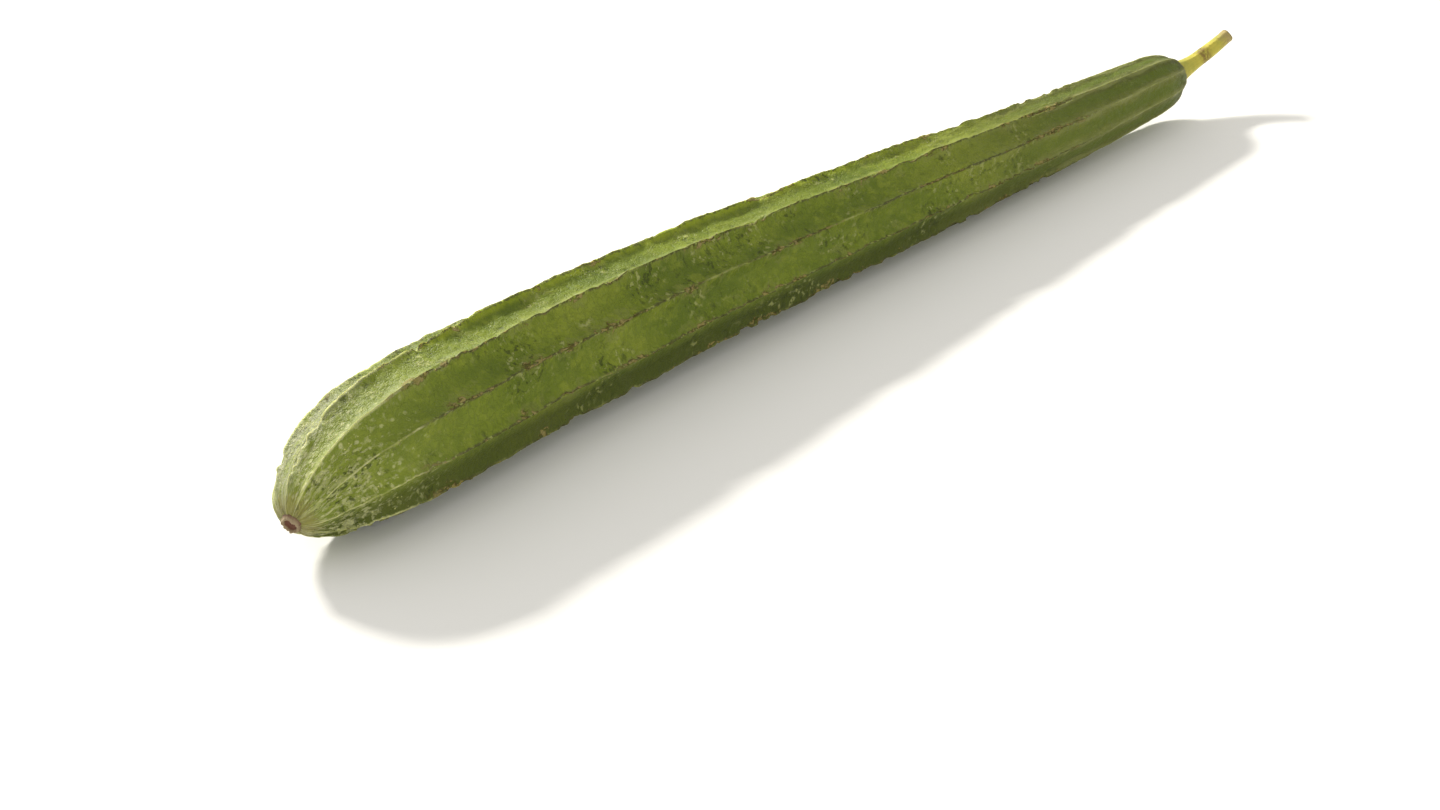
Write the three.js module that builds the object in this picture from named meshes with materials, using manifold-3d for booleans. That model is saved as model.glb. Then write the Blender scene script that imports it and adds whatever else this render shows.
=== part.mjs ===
// A ridge gourd (Luffa acutangula), as picked: a long fruit with ten sharp ridges, lying on its two lowest ones.
// Millimetres, +Z up. +X runs from the blossom end to the stalk, and the origin is the middle of the footprint.
import * as THREE from "three";
import { mergeVertices } from "three/addons/utils/BufferGeometryUtils.js";
import Module from "manifold-3d";

const wasm = await Module();
wasm.setup();

// Driving dimensions
const fruitLength = 480; // blossom scar to the shoulder round the stalk
const crestRadius = 24; // widest place, over the ridges
const neckRadius = 12.5; // beside the shoulder, over the ridges
const scarRadius = 3.4; // flat scar where the flower dried off
const ridgeCount = 10;
const ridgeDepth = 0.15; // of the radius, on the fat part
const neckRidgeDepth = 0.08; // of the radius, where the ridges die out
const ridgeSharpness = 3; // the ridges stand up like fins between broad hollows
const pressedFlat = 0.5; // what the ridges under the fruit give by its weight
const stalkLength = 34.5;
const stalkBaseRadius = 6.2;
const stalkRadius = 3.2;
const stalkCutRadius = 2.9;
const stalkSideCount = 5;
const stalkSideDepth = 0.1; // of the radius
const jointGap = 0.3; // between the fruit's shoulder and the stalk

// Places along the fruit, from the blossom scar
const belly = 67; // the fattest place
const fadeStart = 0.6 * fruitLength; // the ridges grow lower from here
const shoulder = 0.955 * fruitLength; // the neck rounds in from here

// How finely the surfaces are cut
const ringsInDome = 12;
const ringsInBody = 20;
const ringsInShoulder = 5;
const facetsPerRidge = 8;
const ringsInStalk = 10;
const facetsPerSide = 4;

// The fruit's centreline: a slow bend in plan, with the blossom end and the neck lifted off the ground.
// Over the belly it is as high as a section that stands on two ridges, less what they give.
function fruitCentreline() {
  const restingHeight = crestRadius * Math.cos(Math.PI / ridgeCount) - pressedFlat;
  const head = new THREE.CubicBezierCurve3(
    new THREE.Vector3(0, 0, 16.5),
    new THREE.Vector3(23, 6.3, 23.3),
    new THREE.Vector3(55, 8.1, restingHeight),
    new THREE.Vector3(belly, 8.8, restingHeight),
  );
  const body = new THREE.CubicBezierCurve3(
    new THREE.Vector3(belly, 8.8, restingHeight),
    new THREE.Vector3(197, 16.5, restingHeight),
    new THREE.Vector3(340, 4.2, 14.8),
    new THREE.Vector3(fruitLength, 2, 15.6),
  );
  const line = new THREE.CurvePath();
  line.add(head);
  line.add(body);
  return line;
}

// The fruit's outline over its ridges, as (radius, distance from the blossom scar).
function fruitOutline() {
  const dome = new THREE.CubicBezierCurve(
    new THREE.Vector2(scarRadius, 0),
    new THREE.Vector2(11.7, 3),
    new THREE.Vector2(crestRadius, 20.5),
    new THREE.Vector2(crestRadius, belly),
  );
  const body = new THREE.CubicBezierCurve(
    new THREE.Vector2(crestRadius, belly),
    new THREE.Vector2(crestRadius, 166),
    new THREE.Vector2(19.5, 317),
    new THREE.Vector2(neckRadius, shoulder),
  );
  const rounding = new THREE.CubicBezierCurve(
    new THREE.Vector2(neckRadius, shoulder),
    new THREE.Vector2(12.2, 0.98 * fruitLength),
    new THREE.Vector2(9.4, 0.994 * fruitLength),
    new THREE.Vector2(stalkBaseRadius + 0.6, fruitLength),
  );
  return [
    new THREE.Vector2(0, 0),
    ...dome.getPoints(ringsInDome),
    ...body.getPoints(ringsInBody).slice(1),
    ...rounding.getPoints(ringsInShoulder).slice(1),
    new THREE.Vector2(0, fruitLength),
  ];
}

// The stalk leaves the shoulder along the fruit and bends up.
function stalkCentreline(fruitLine) {
  const along = fruitLine.getTangent(1);
  const base = fruitLine.getPoint(1).addScaledVector(along, jointGap);
  const middle = base.clone().addScaledVector(along, 0.45 * stalkLength);
  const tip = middle.clone().add(new THREE.Vector3(15.4, -4.9, 9.6));
  return new THREE.QuadraticBezierCurve3(base, middle, tip);
}

// The stalk's outline: a flared foot and a thin shaft that narrows a little to its cut end.
function stalkOutline() {
  const foot = new THREE.CubicBezierCurve(
    new THREE.Vector2(stalkBaseRadius, 0),
    new THREE.Vector2(4.9, 0.1 * stalkLength),
    new THREE.Vector2(stalkRadius, 0.28 * stalkLength),
    new THREE.Vector2(stalkRadius, 0.55 * stalkLength),
  );
  const shaft = new THREE.QuadraticBezierCurve(
    new THREE.Vector2(stalkRadius, 0.55 * stalkLength),
    new THREE.Vector2(stalkRadius, 0.8 * stalkLength),
    new THREE.Vector2(stalkCutRadius, stalkLength),
  );
  return [
    new THREE.Vector2(0, 0),
    ...foot.getPoints(ringsInStalk / 2),
    ...shaft.getPoints(ringsInStalk / 2).slice(1),
    new THREE.Vector2(0, stalkLength),
  ];
}

// 1 on a ridge's crest and 0 in the middle of the hollow beside it, with concave flanks between them.
function crestShape(angle, count) {
  const turns = (angle / (2 * Math.PI)) * count;
  const fromCrest = 2 * Math.abs(turns - Math.round(turns));
  return (1 - fromCrest) ** ridgeSharpness;
}

// The fruit's ridges keep their full depth on the fat part and die out towards the neck.
function fruitRidges(angle, distance) {
  const fade = THREE.MathUtils.smoothstep(distance, fadeStart, fruitLength);
  const depth = THREE.MathUtils.lerp(ridgeDepth, neckRidgeDepth, fade);
  return 1 - depth * (1 - crestShape(angle, ridgeCount));
}

// The stalk is bluntly five-sided.
function stalkSides(angle) {
  return 1 - (stalkSideDepth * (1 - Math.cos(stalkSideCount * angle))) / 2;
}

// Turns an outline round its axis, shapes each section, and lays the result along a centreline.
function sweptBody(outline, facets, length, sectionShape, centreline) {
  const geometry = new THREE.LatheGeometry(outline, facets);
  const position = geometry.getAttribute("position");
  const worldUp = new THREE.Vector3(0, 0, 1);
  for (let i = 0; i < position.count; i++) {
    const distance = position.getY(i);
    const angle = Math.atan2(position.getZ(i), position.getX(i));
    const radius = Math.hypot(position.getX(i), position.getZ(i)) * sectionShape(angle, distance);
    const share = THREE.MathUtils.clamp(distance / length, 0, 1);
    const tangent = centreline.getTangentAt(share);
    const side = tangent.clone().cross(worldUp).normalize();
    const up = side.clone().cross(tangent);
    const point = centreline
      .getPointAt(share)
      .addScaledVector(side, radius * Math.cos(angle))
      .addScaledVector(up, radius * Math.sin(angle));
    position.setXYZ(i, point.x, point.y, point.z);
  }
  geometry.deleteAttribute("normal");
  geometry.deleteAttribute("uv");
  return mergeVertices(geometry, 1e-3);
}

function solidOf(geometry) {
  return new wasm.Manifold(
    new wasm.Mesh({
      numProp: 3,
      vertProperties: geometry.getAttribute("position").array,
      triVerts: new Uint32Array(geometry.index.array),
    }),
  );
}

function geometryOf(solid) {
  const mesh = solid.getMesh();
  const geometry = new THREE.BufferGeometry();
  geometry.setAttribute("position", new THREE.BufferAttribute(mesh.vertProperties, 3));
  geometry.setIndex(new THREE.BufferAttribute(mesh.triVerts, 1));
  return geometry;
}

// Takes off what would reach below the ground, which leaves flat strips on the ridges that the fruit lies on.
function pressedOnGround(geometry) {
  const depth = 20;
  const ground = new THREE.BoxGeometry(2 * fruitLength, 2 * fruitLength, depth);
  ground.translate(fruitLength / 2, 0, -depth / 2);
  ground.deleteAttribute("normal");
  ground.deleteAttribute("uv");
  return geometryOf(solidOf(geometry).subtract(solidOf(mergeVertices(ground, 1e-3))));
}

function makeFruit(centreline) {
  const swept = sweptBody(
    fruitOutline(),
    facetsPerRidge * ridgeCount,
    fruitLength,
    fruitRidges,
    centreline,
  );
  const rind = new THREE.MeshStandardMaterial({ color: 0x62702a, roughness: 0.55, metalness: 0 });
  const fruit = new THREE.Mesh(pressedOnGround(swept), rind);
  fruit.name = "fruit";
  return fruit;
}

function makeStalk(centreline) {
  const swept = sweptBody(
    stalkOutline(),
    facetsPerSide * stalkSideCount,
    stalkLength,
    stalkSides,
    centreline,
  );
  const fibre = new THREE.MeshStandardMaterial({ color: 0xaca14c, roughness: 0.7, metalness: 0 });
  const stalk = new THREE.Mesh(swept, fibre);
  stalk.name = "stalk";
  return stalk;
}

const fruitLine = fruitCentreline();
const gourd = new THREE.Group();
gourd.add(makeFruit(fruitLine), makeStalk(stalkCentreline(fruitLine)));

// The origin is the middle of the footprint, on the ground.
const extent = new THREE.Box3().setFromObject(gourd);
const middle = extent.getCenter(new THREE.Vector3());
gourd.position.set(-middle.x, -middle.y, -extent.min.z);

export default gourd;
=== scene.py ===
import math

import bmesh
import bpy
from mathutils import Matrix, Vector, noise


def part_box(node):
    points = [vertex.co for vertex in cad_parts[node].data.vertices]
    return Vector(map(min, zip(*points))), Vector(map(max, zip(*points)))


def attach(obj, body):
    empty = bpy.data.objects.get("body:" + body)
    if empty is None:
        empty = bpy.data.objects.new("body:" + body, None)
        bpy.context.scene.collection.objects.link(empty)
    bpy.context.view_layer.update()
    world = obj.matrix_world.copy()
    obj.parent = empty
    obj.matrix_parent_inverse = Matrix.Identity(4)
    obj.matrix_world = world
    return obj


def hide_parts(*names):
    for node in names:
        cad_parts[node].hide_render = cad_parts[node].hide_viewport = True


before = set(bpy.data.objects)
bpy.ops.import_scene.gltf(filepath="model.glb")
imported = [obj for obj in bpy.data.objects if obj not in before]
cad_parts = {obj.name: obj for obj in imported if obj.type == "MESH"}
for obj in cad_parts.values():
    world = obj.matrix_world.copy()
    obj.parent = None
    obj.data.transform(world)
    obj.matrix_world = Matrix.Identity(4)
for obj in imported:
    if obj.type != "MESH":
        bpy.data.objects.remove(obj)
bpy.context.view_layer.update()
millimetre = 0.001
ribSpacing = 0.37  # sets each rib's pattern apart from its neighbours'
print("gourd: packed part loaded")


class Field:
    # A socket that can be reckoned with: plain numbers and other fields go into + - * / and **.
    def __init__(self, pen, socket):
        self.pen = pen
        self.socket = socket

    def __add__(self, other):
        return self.pen.math("ADD", self, other)

    def __radd__(self, other):
        return self.pen.math("ADD", other, self)

    def __sub__(self, other):
        return self.pen.math("SUBTRACT", self, other)

    def __rsub__(self, other):
        return self.pen.math("SUBTRACT", other, self)

    def __mul__(self, other):
        return self.pen.math("MULTIPLY", self, other)

    def __rmul__(self, other):
        return self.pen.math("MULTIPLY", other, self)

    def __truediv__(self, other):
        return self.pen.math("DIVIDE", self, other)

    def __pow__(self, other):
        return self.pen.math("POWER", self, other)


class NodePen:
    # Writes nodes into one tree, and lays them out in rows.
    columns = 12
    stepRight = 220
    stepDown = 320

    def __init__(self, tree):
        self.tree = tree
        self.count = 0

    def node(self, kind, values=None, **settings):
        made = self.tree.nodes.new(kind)
        row, column = divmod(self.count, self.columns)
        made.location = (self.stepRight * column, -self.stepDown * row)
        self.count += 1
        for name, value in settings.items():
            setattr(made, name, value)
        for name, value in (values or {}).items():
            self.put(made.inputs[name], value)
        return made

    def put(self, socket, value):
        if isinstance(value, Field):
            self.tree.links.new(value.socket, socket)
        elif isinstance(value, bpy.types.NodeSocket):
            self.tree.links.new(value, socket)
        else:
            socket.default_value = value

    def field(self, node, output=0):
        return Field(self, node.outputs[output])

    def math(self, operation, *values):
        return self.field(self.node("ShaderNodeMath", dict(enumerate(values)), operation=operation))

    def vectorMath(self, operation, *values):
        return self.field(self.node("ShaderNodeVectorMath", dict(enumerate(values)), operation=operation))

    def scaled(self, vector, amount):
        made = self.node("ShaderNodeVectorMath", {0: vector, "Scale": amount}, operation="SCALE")
        return self.field(made)

    def vector(self, x, y, z):
        return self.field(self.node("ShaderNodeCombineXYZ", {"X": x, "Y": y, "Z": z}))

    def parts(self, vector):
        split = self.node("ShaderNodeSeparateXYZ", {0: vector})
        return [self.field(split, axis) for axis in range(3)]

    def smooth(self, value, low, high, start=0.0, end=1.0):
        values = {"Value": value, "From Min": low, "From Max": high, "To Min": start, "To Max": end}
        return self.field(self.node("ShaderNodeMapRange", values, interpolation_type="SMOOTHSTEP"))

    def noise(self, vector, scale, detail=2.0, roughness=0.5):
        values = {"Vector": vector, "Scale": scale, "Detail": detail, "Roughness": roughness}
        return self.field(self.node("ShaderNodeTexNoise", values))

    def drawnNoise(self, vector, scales, detail=2.0, roughness=0.5):
        # noise with one scale round the piece and another along it
        around, lengthwise = scales
        drawn = self.vectorMath("MULTIPLY", vector, (around, around, lengthwise))
        return self.noise(drawn, 1.0, detail, roughness)

    def swing(self, vector, scale, detail=2.0):
        # noise that swings about zero, from about -1 to 1
        return (self.noise(vector, scale, detail) - 0.5) * 3.0

    def drawnSwing(self, vector, scales, detail):
        return (self.drawnNoise(vector, scales, detail) - 0.5) * 3.0

    def named(self, label, kind="FLOAT"):
        # an attribute of the points, in a Geometry Nodes tree
        made = self.node("GeometryNodeInputNamedAttribute", {"Name": label}, data_type=kind)
        return self.field(made, "Attribute")


def addObject(name, data):
    made = bpy.data.objects.new(name, data)
    bpy.context.scene.collection.objects.link(made)
    return made


def discard(helper):
    # Removes an object together with its mesh or curve.
    data = helper.data
    store = bpy.data.meshes if isinstance(data, bpy.types.Mesh) else bpy.data.curves
    bpy.data.objects.remove(helper)
    store.remove(data)


def bezierCurve(name, stretches):
    # A curve object from cubic stretches laid end to end, each of four points.
    data = bpy.data.curves.new(name, "CURVE")
    data.dimensions = "3D"
    data.resolution_u = 96
    spline = data.splines.new("BEZIER")
    spline.bezier_points.add(len(stretches))
    knots = [stretches[0][0]] + [stretch[3] for stretch in stretches]
    for i, knot in enumerate(knots):
        point = spline.bezier_points[i]
        point.handle_left_type = "FREE"
        point.handle_right_type = "FREE"
        point.co = knot
        point.handle_left = stretches[i - 1][2] if i > 0 else knot
        point.handle_right = stretches[i][1] if i < len(stretches) else knot
    return addObject(name, data)


def straight(start, end):
    start, end = Vector(start), Vector(end)
    return [start, start.lerp(end, 1 / 3), start.lerp(end, 2 / 3), end]


def flat(*points):
    # (radius, distance) points, as points of a curve in the XY plane
    return [Vector((radius, distance, 0)) for radius, distance in points]


def runTree(name, tree, values):
    # Runs a Geometry Nodes tree on an empty mesh and keeps the result as a plain mesh object.
    holder = addObject(name + "Holder", bpy.data.meshes.new(name + "Holder"))
    modifier = holder.modifiers.new("shape", "NODES")
    modifier.node_group = tree
    for item in tree.interface.items_tree:
        if item.in_out == "INPUT" and item.name in values:
            modifier[item.identifier] = values[item.name]
    graph = bpy.context.evaluated_depsgraph_get()
    mesh = bpy.data.meshes.new_from_object(
        holder.evaluated_get(graph), preserve_all_data_layers=True, depsgraph=graph
    )
    holder.modifiers.remove(modifier)
    discard(holder)
    mesh.name = name
    piece = addObject(name, mesh)
    print("gourd:", name, len(mesh.vertices), "points,", len(mesh.polygons), "faces")
    return piece


def newTree(name, inputs):
    tree = bpy.data.node_groups.new(name, "GeometryNodeTree")
    tree.is_modifier = True
    tree.interface.new_socket("Geometry", in_out="OUTPUT", socket_type="NodeSocketGeometry")
    for label, kind in inputs:
        tree.interface.new_socket(label, in_out="INPUT", socket_type="NodeSocket" + kind)
    pen = NodePen(tree)
    entry = pen.node("NodeGroupInput")
    fields = {label: pen.field(entry, label) for label, kind in inputs}
    return tree, pen, fields


def finishTree(pen, geometry, material):
    real = pen.node("GeometryNodeRealizeInstances", {"Geometry": geometry})
    done = pen.node("GeometryNodeSetMaterial", {"Geometry": real.outputs[0], "Material": material})
    out = pen.node("NodeGroupOutput")
    pen.tree.links.new(done.outputs[0], out.inputs[0])


sweepGrain = {  # how fine the patterns of the sweep are, in turns a metre
    "crestSwing": (24.0, 78.0, 230.0),  # long, short and shortest
    "worn": 41.0,
    "bites": 155.0,
    "meander": (16.0, 110.0),  # broad and fine
    "crestLean": 46.0,
    "swell": 34.0,
    "dents": 105.0,
    "leather": 270.0,
    "blisters": 130.0,
    "blisterPatches": 36.0,
    "wrinkle": (75.0, 240.0),  # round and along
    "tipStreaks": (420.0, 60.0),  # round and along
}


def buildRibbedSweep():
    inputs = [
        ("Outline", "Object"),
        ("Centreline", "Object"),
        ("Length", "Float"),
        ("Rings", "Int"),
        ("Steps per Rib", "Int"),
        ("Ribs", "Int"),
        ("Rib Depth", "Float"),
        ("End Rib Depth", "Float"),
        ("Fade From", "Float"),
        ("Sharpness", "Float"),
        ("Crowding", "Float"),
        ("Round Tip", "Float"),
        ("Pattern Radius", "Float"),
        ("Meander", "Float"),
        ("Crest Lean", "Float"),
        ("Crest Swing", "Float"),
        ("Nick Depth", "Float"),
        ("Wear Until", "Float"),
        ("Swell", "Float"),
        ("Dents", "Float"),
        ("Leather", "Float"),
        ("Blisters", "Float"),
        ("Wrinkle", "Float"),
        ("Seed", "Float"),
        ("Origin", "Vector"),
        ("Ground", "Float"),
        ("Material", "Material"),
    ]
    tree, pen, given = newTree("ribbedSweep", inputs)
    ribs = given["Ribs"]
    turn = 2 * math.pi

    # A grid: X runs along the outline, Y once round it. Steps crowd towards the crests.
    columns = given["Steps per Rib"] * ribs + 1
    grid = pen.node(
        "GeometryNodeMeshGrid",
        {"Size X": 1.0, "Size Y": 1.0, "Vertices X": given["Rings"], "Vertices Y": columns},
    )
    x, y, _ = pen.parts(pen.field(pen.node("GeometryNodeInputPosition")))
    outlineShare = x + 0.5
    evenSteps = (y + 0.5) * ribs
    steps = evenSteps - given["Crowding"] * pen.math("SINE", evenSteps * turn) / turn
    nearest = pen.math("ROUND", steps)
    fromCrest = pen.math("ABSOLUTE", steps - nearest) * 2
    ribNumber = pen.math("MODULO", nearest, ribs)
    angle = steps * turn / ribs

    # The outline gives the radius over the crests and the distance from the tip.
    outline = pen.node("GeometryNodeObjectInfo", {"Object": given["Outline"]})
    ring = pen.node(
        "GeometryNodeSampleCurve",
        {"Curves": outline.outputs["Geometry"], "Factor": outlineShare},
        mode="FACTOR",
        use_all_curves=True,
    )
    crestRadius, along, _ = pen.parts(pen.field(ring, "Position"))

    # Patterns are laid on a plain tube, so that streaks draw together at the tip.
    unrolled = pen.vector(
        pen.math("COSINE", angle) * given["Pattern Radius"],
        pen.math("SINE", angle) * given["Pattern Radius"],
        along + given["Seed"],
    )
    ribLine = pen.vector(along + given["Seed"], ribNumber * ribSpacing, 0.0)

    # Ribs fade from their full depth, and are round at the very tip.
    fade = pen.smooth(along, given["Fade From"], given["Length"])
    depth = given["Rib Depth"] + (given["End Rib Depth"] - given["Rib Depth"]) * fade
    depth = depth * pen.smooth(along, 0.0, given["Round Tip"], 0.35, 1.0)
    crestShape = (1.0 - fromCrest) ** given["Sharpness"]
    crestOnly = pen.smooth(fromCrest, 0.0, 0.22, 1.0, 0.0)
    nearCrest = pen.smooth(fromCrest, 0.0, 0.6, 1.0, 0.0)

    # Crests swing a little in height, and are chewed where they were rubbed.
    wearHere = pen.smooth(along, given["Wear Until"], 0.86 * given["Wear Until"])
    longTurns, shortTurns, shortestTurns = sweepGrain["crestSwing"]
    longSwing = pen.swing(ribLine, longTurns, 3.0) * (wearHere * 0.6 + 0.4)
    shortSwing = pen.swing(ribLine, shortTurns) + pen.swing(ribLine, shortestTurns)
    crestSwing = (longSwing + shortSwing * wearHere * 0.5) * given["Crest Swing"]
    worn = pen.smooth(pen.noise(ribLine, sweepGrain["worn"]), 0.46, 0.59) * wearHere
    bites = pen.smooth(pen.noise(ribLine, sweepGrain["bites"], 3.0), 0.44, 0.58)
    nicks = worn * bites * given["Nick Depth"]
    bodyFade = pen.smooth(along, 0.0, given["Round Tip"]) * pen.smooth(
        along, given["Length"], given["Length"] - given["Round Tip"]
    )
    crestChange = (crestSwing * nearCrest - nicks * crestOnly) * bodyFade
    radius = crestRadius * (1.0 - depth * (1.0 - crestShape)) + crestChange

    # Crests also wander and lean sideways.
    broadTurns, fineTurns = sweepGrain["meander"]
    wander = pen.swing(unrolled, broadTurns, 1.0) + pen.swing(unrolled, fineTurns) * 0.16
    leanLine = pen.vector(along + given["Seed"], ribNumber * ribSpacing, 7.0)
    lean = pen.swing(leanLine, sweepGrain["crestLean"], 3.0) * given["Crest Lean"] * crestShape
    bentAngle = angle + (wander * given["Meander"] + lean) * bodyFade

    centre = pen.node("GeometryNodeObjectInfo", {"Object": given["Centreline"]})
    station = pen.node(
        "GeometryNodeSampleCurve",
        {"Curves": centre.outputs["Geometry"], "Factor": along / given["Length"]},
        mode="FACTOR",
        use_all_curves=True,
    )
    tangent = pen.field(station, "Tangent")
    side = pen.vectorMath("NORMALIZE", pen.vectorMath("CROSS_PRODUCT", tangent, (0.0, 0.0, 1.0)))
    up = pen.vectorMath("CROSS_PRODUCT", side, tangent)
    spot = pen.vectorMath("ADD", pen.field(station, "Position"), given["Origin"])
    spot = pen.vectorMath("ADD", spot, pen.scaled(side, pen.math("COSINE", bentAngle) * radius))
    spot = pen.vectorMath("ADD", spot, pen.scaled(up, pen.math("SINE", bentAngle) * radius))

    geometry = grid.outputs["Mesh"]
    kept = [
        ("along", "FLOAT", along),
        ("fromCrest", "FLOAT", fromCrest),
        ("rib", "FLOAT", ribNumber),
        ("worn", "FLOAT", worn),
        ("bites", "FLOAT", worn * bites),
        ("unrolled", "FLOAT_VECTOR", unrolled),
        ("spot", "FLOAT_VECTOR", spot),
    ]
    for label, kind, value in kept:
        stored = pen.node(
            "GeometryNodeStoreNamedAttribute",
            {"Geometry": geometry, "Name": label, "Value": value},
            data_type=kind,
            domain="POINT",
        )
        geometry = stored.outputs[0]

    placed = pen.node(
        "GeometryNodeSetPosition", {"Geometry": geometry, "Position": pen.named("spot", "FLOAT_VECTOR")}
    )
    closed = pen.node(
        "GeometryNodeMergeByDistance", {"Geometry": placed.outputs[0], "Distance": 2e-6}
    )

    # Relief: swells, dents, a leathery grain, blisters, and wrinkles across the flanks of the crests.
    laid = pen.named("unrolled", "FLOAT_VECTOR")
    keptAlong = pen.named("along")
    keptCrest = pen.named("fromCrest")
    hollow = pen.smooth(keptCrest, 0.0, 0.35)
    swell = pen.swing(laid, sweepGrain["swell"], 1.0) * given["Swell"] * hollow
    dents = pen.swing(laid, sweepGrain["dents"]) * given["Dents"] * hollow
    leather = pen.swing(laid, sweepGrain["leather"], 3.0) * given["Leather"]
    cells = pen.node(
        "ShaderNodeTexVoronoi",
        {"Vector": laid, "Scale": sweepGrain["blisters"], "Smoothness": 0.7},
        feature="SMOOTH_F1",
    )
    blistered = pen.smooth(pen.noise(laid, sweepGrain["blisterPatches"]), 0.42, 0.60) * hollow
    blisters = pen.smooth(pen.field(cells), 0.08, 0.52, 1.0, 0.0) * blistered * given["Blisters"]
    flank = pen.smooth(keptCrest, 0.03, 0.18) * pen.smooth(keptCrest, 1.1, 0.4)
    wrinkle = pen.drawnSwing(laid, sweepGrain["wrinkle"], 2.0) * given["Wrinkle"] * flank
    nearTip = pen.smooth(keptAlong, 4 * given["Round Tip"], 0.0)
    tipStreaks = pen.drawnSwing(laid, sweepGrain["tipStreaks"], 1.0) * given["Wrinkle"] * nearTip
    relief = swell + dents + leather + blisters + wrinkle + tipStreaks
    relief = relief * pen.smooth(keptAlong, 0.0, 0.3 * given["Round Tip"])
    normal = pen.field(pen.node("GeometryNodeInputNormal"))
    shaped = pen.node(
        "GeometryNodeSetPosition",
        {"Geometry": closed.outputs[0], "Offset": pen.scaled(normal, relief)},
    )

    # What would reach below the ground is pressed flat on it.
    east, north, height = pen.parts(pen.field(pen.node("GeometryNodeInputPosition")))
    above = pen.vector(east, north, pen.math("MAXIMUM", height, given["Ground"]))
    pressed = pen.node("GeometryNodeSetPosition", {"Geometry": shaped.outputs[0], "Position": above})
    smoothed = pen.node("GeometryNodeSetShadeSmooth", {"Geometry": pressed.outputs[0]})
    dropped = pen.node(
        "GeometryNodeRemoveAttribute", {"Geometry": smoothed.outputs[0], "Name": "spot"}
    )
    finishTree(pen, dropped.outputs[0], given["Material"])
    return tree


bandEdge = 0.012  # over which a band of flakes begins
patchEdge = 0.12  # of the noise, over which a patch begins
liftedHeight = 0.0015  # nothing grows where the fruit is pressed on the ground


def buildScatter():
    inputs = [
        ("Surface", "Object"),
        ("Density", "Float"),
        ("Crest Reach", "Float"),
        ("Worn Only", "Float"),
        ("Low Along", "Float"),
        ("High Along", "Float"),
        ("Patch Scale", "Float"),
        ("Patch Start", "Float"),
        ("Size", "Vector"),
        ("Smallest", "Float"),
        ("Tilt", "Float"),
        ("Seed", "Int"),
        ("Material", "Material"),
    ]
    tree, pen, given = newTree("scatter", inputs)
    surface = pen.node("GeometryNodeObjectInfo", {"Object": given["Surface"]})
    along = pen.named("along")
    onCrest = pen.smooth(pen.named("fromCrest"), 0.0, given["Crest Reach"], 1.0, 0.0)
    fullFrom = given["Low Along"] + bandEdge
    band = pen.smooth(along, given["Low Along"], fullFrom)
    band = band * pen.smooth(along, given["High Along"], fullFrom)
    patchNoise = pen.noise(pen.named("unrolled", "FLOAT_VECTOR"), given["Patch Scale"])
    patches = pen.smooth(patchNoise, given["Patch Start"], given["Patch Start"] + patchEdge)
    wornShare = 1.0 - (1.0 - pen.named("worn")) * given["Worn Only"]
    _, _, height = pen.parts(pen.field(pen.node("GeometryNodeInputPosition")))
    offGround = pen.math("GREATER_THAN", height, liftedHeight)
    points = pen.node(
        "GeometryNodeDistributePointsOnFaces",
        {
            "Mesh": surface.outputs["Geometry"],
            "Density": given["Density"] * onCrest * band * patches * wornShare * offGround,
            "Seed": given["Seed"],
        },
    )
    # One flake: a little ball of few faces, which its size makes flat and long.
    flake = pen.node("GeometryNodeMeshIcoSphere", {"Radius": 0.5, "Subdivisions": 1})
    length = pen.node(
        "FunctionNodeRandomValue", {2: given["Smallest"], 3: 1.0, "Seed": given["Seed"]}, data_type="FLOAT"
    )
    spin = pen.node(
        "FunctionNodeRandomValue",
        {2: given["Tilt"] * -1.0, 3: given["Tilt"], "Seed": given["Seed"] + 1},
        data_type="FLOAT",
    )
    lying = pen.node(
        "FunctionNodeAlignRotationToVector",
        {"Rotation": points.outputs["Rotation"], "Vector": (1.0, 0.0, 0.0)},
        axis="X",
        pivot_axis="Z",
    )
    turned = pen.node(
        "FunctionNodeRotateRotation", {"Rotation": lying.outputs[0]}, rotation_space="LOCAL"
    )
    spun = pen.node("FunctionNodeAxisAngleToRotation", {"Axis": (0.3, 1.0, 0.6)})
    pen.put(spun.inputs["Angle"], Field(pen, spin.outputs[1]))
    pen.tree.links.new(spun.outputs[0], turned.inputs["Rotate By"])
    placed = pen.node(
        "GeometryNodeInstanceOnPoints",
        {
            "Points": points.outputs["Points"],
            "Instance": flake.outputs["Mesh"],
            "Rotation": turned.outputs[0],
            "Scale": pen.scaled(given["Size"], Field(pen, length.outputs[1])),
        },
    )
    finishTree(pen, placed.outputs[0], given["Material"])
    return tree


def newMaterial(name):
    made = bpy.data.materials.new(name)
    made.use_nodes = True
    for old in list(made.node_tree.nodes):
        made.node_tree.nodes.remove(old)
    pen = NodePen(made.node_tree)
    shader = pen.node("ShaderNodeBsdfPrincipled")
    out = pen.node("ShaderNodeOutputMaterial")
    pen.tree.links.new(shader.outputs[0], out.inputs[0])
    return made, pen, shader


def mixColour(pen, amount, first, second):
    made = pen.node("ShaderNodeMix", data_type="RGBA")
    pen.put(made.inputs[0], amount)
    # sockets 6 and 7 and output 2 are the ones for colours
    for socket, colour in ((made.inputs[6], first), (made.inputs[7], second)):
        pen.put(socket, (*colour, 1.0) if isinstance(colour, tuple) else colour)
    return Field(pen, made.outputs[2])


class Coats:
    # Lays colours of one palette over each other, each by its own share.
    def __init__(self, pen, palette, base):
        self.pen = pen
        self.palette = palette
        self.colour = palette[base]

    def lay(self, share, name):
        self.colour = mixColour(self.pen, share, self.colour, self.palette[name])


def objectPlace(pen):
    return pen.field(pen.node("ShaderNodeTexCoord"), "Object")


def readAttribute(pen, label, output="Fac"):
    made = pen.node("ShaderNodeAttribute", attribute_name=label)
    return pen.field(made, output)


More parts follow.
